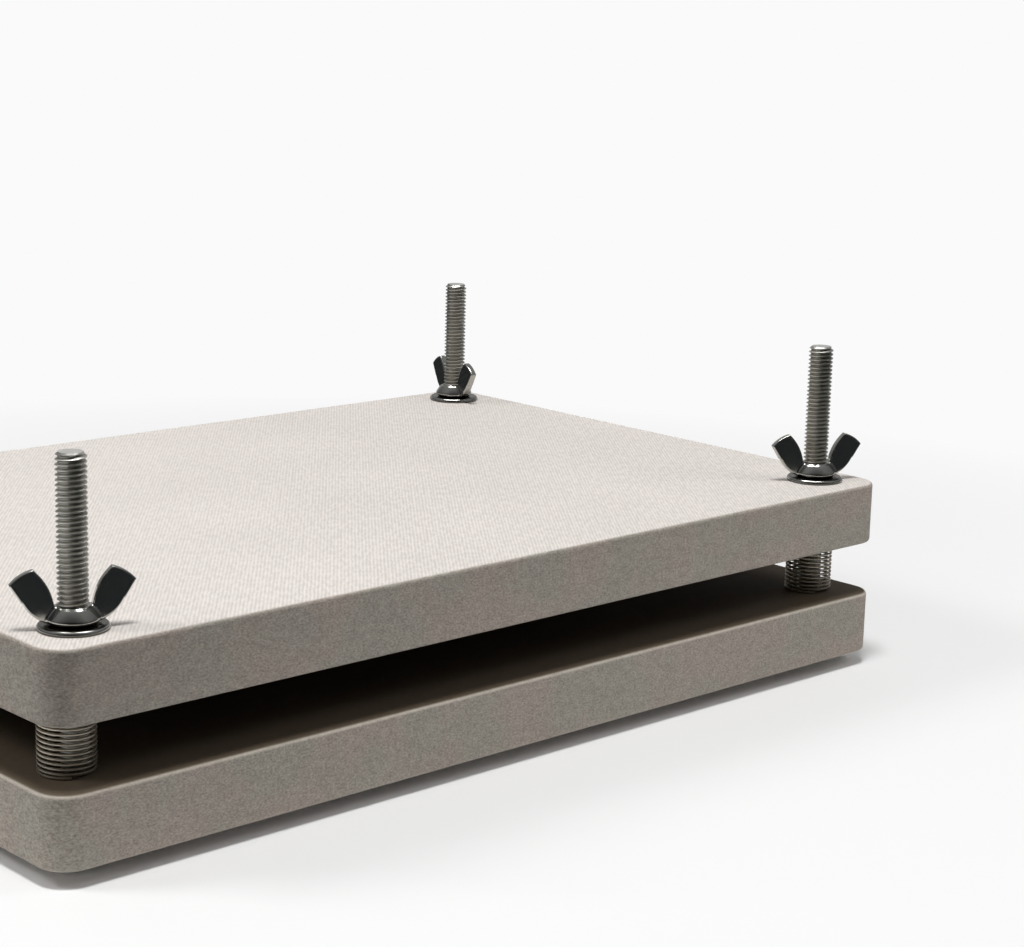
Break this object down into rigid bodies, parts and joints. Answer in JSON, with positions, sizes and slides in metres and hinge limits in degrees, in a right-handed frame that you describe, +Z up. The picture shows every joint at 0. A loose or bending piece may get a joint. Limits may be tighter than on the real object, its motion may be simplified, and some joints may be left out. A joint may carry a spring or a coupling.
{
  "type": "book press",
  "caption": "Screw press for small books: flat boards drawn together by wing nuts on upright bolts, with coil springs that hold the boards apart.",
  "frame": {"origin": "on the table, midway along and across the press, at the level of the bolt heads' crowns", "axes": "+X along the boards' length, to the right in the picture; +Y across the boards, from the front edge to the back; +Z up along the bolts"},
  "size_m": [0.3048, 0.2032, 0.1019],
  "materials": {
    "board": "bare fibreboard, smooth pressed faces and finely mottled sawn edges",
    "bolt_steel": "zinc-plated thread, slightly dulled and oily",
    "bright_steel": "bright zinc plate, smooth and reflective",
    "spring_steel": "drawn spring wire, bright"
  },
  "bodies": {
    "base": {"lower_board": "board", "bolt_front_left": "bolt_steel", "bolt_front_right": "bolt_steel", "bolt_rear_right": "bolt_steel", "bolt_rear_left": "bolt_steel", "spring_front_left": "spring_steel", "spring_front_right": "spring_steel", "spring_rear_right": "spring_steel", "spring_rear_left": "spring_steel"},
    "platen": {"upper_board": "board", "washer_front_left": "bright_steel", "washer_front_right": "bright_steel", "washer_rear_right": "bright_steel", "washer_rear_left": "bright_steel"},
    "nut_front_left": {"wing_nut_front_left": "bright_steel"},
    "nut_front_right": {"wing_nut_front_right": "bright_steel"},
    "nut_rear_right": {"wing_nut_rear_right": "bright_steel"},
    "nut_rear_left": {"wing_nut_rear_left": "bright_steel"}
  },
  "joints": [
    {"name": "press_travel", "type": "slide", "parent": "base", "child": "platen", "axis": [0, 0, 1], "range_m": [-0.005, 0.035], "deforming": ["spring_front_left", "spring_front_right", "spring_rear_right", "spring_rear_left"]},
    {"name": "wing_nut_front_left_turn", "type": "hinge", "parent": "platen", "child": "nut_front_left", "pos_m": [-0.1369, -0.0861, 0.0604], "axis": [0, 0, 1], "range_deg": [-1440, 10080]},
    {"name": "wing_nut_front_right_turn", "type": "hinge", "parent": "platen", "child": "nut_front_right", "pos_m": [0.1369, -0.0861, 0.0604], "axis": [0, 0, 1], "range_deg": [-1440, 10080]},
    {"name": "wing_nut_rear_right_turn", "type": "hinge", "parent": "platen", "child": "nut_rear_right", "pos_m": [0.1369, 0.0861, 0.0604], "axis": [0, 0, 1], "range_deg": [-1440, 10080]},
    {"name": "wing_nut_rear_left_turn", "type": "hinge", "parent": "platen", "child": "nut_rear_left", "pos_m": [-0.1369, 0.0861, 0.0604], "axis": [0, 0, 1], "range_deg": [-1440, 10080]}
  ],
  "couplings": [
    {"joint": "wing_nut_front_left_turn", "follows": "press_travel", "rad_per_m": 5026.5},
    {"joint": "wing_nut_front_right_turn", "follows": "press_travel", "rad_per_m": 5026.5},
    {"joint": "wing_nut_rear_right_turn", "follows": "press_travel", "rad_per_m": 5026.5},
    {"joint": "wing_nut_rear_left_turn", "follows": "press_travel", "rad_per_m": 5026.5}
  ]
}
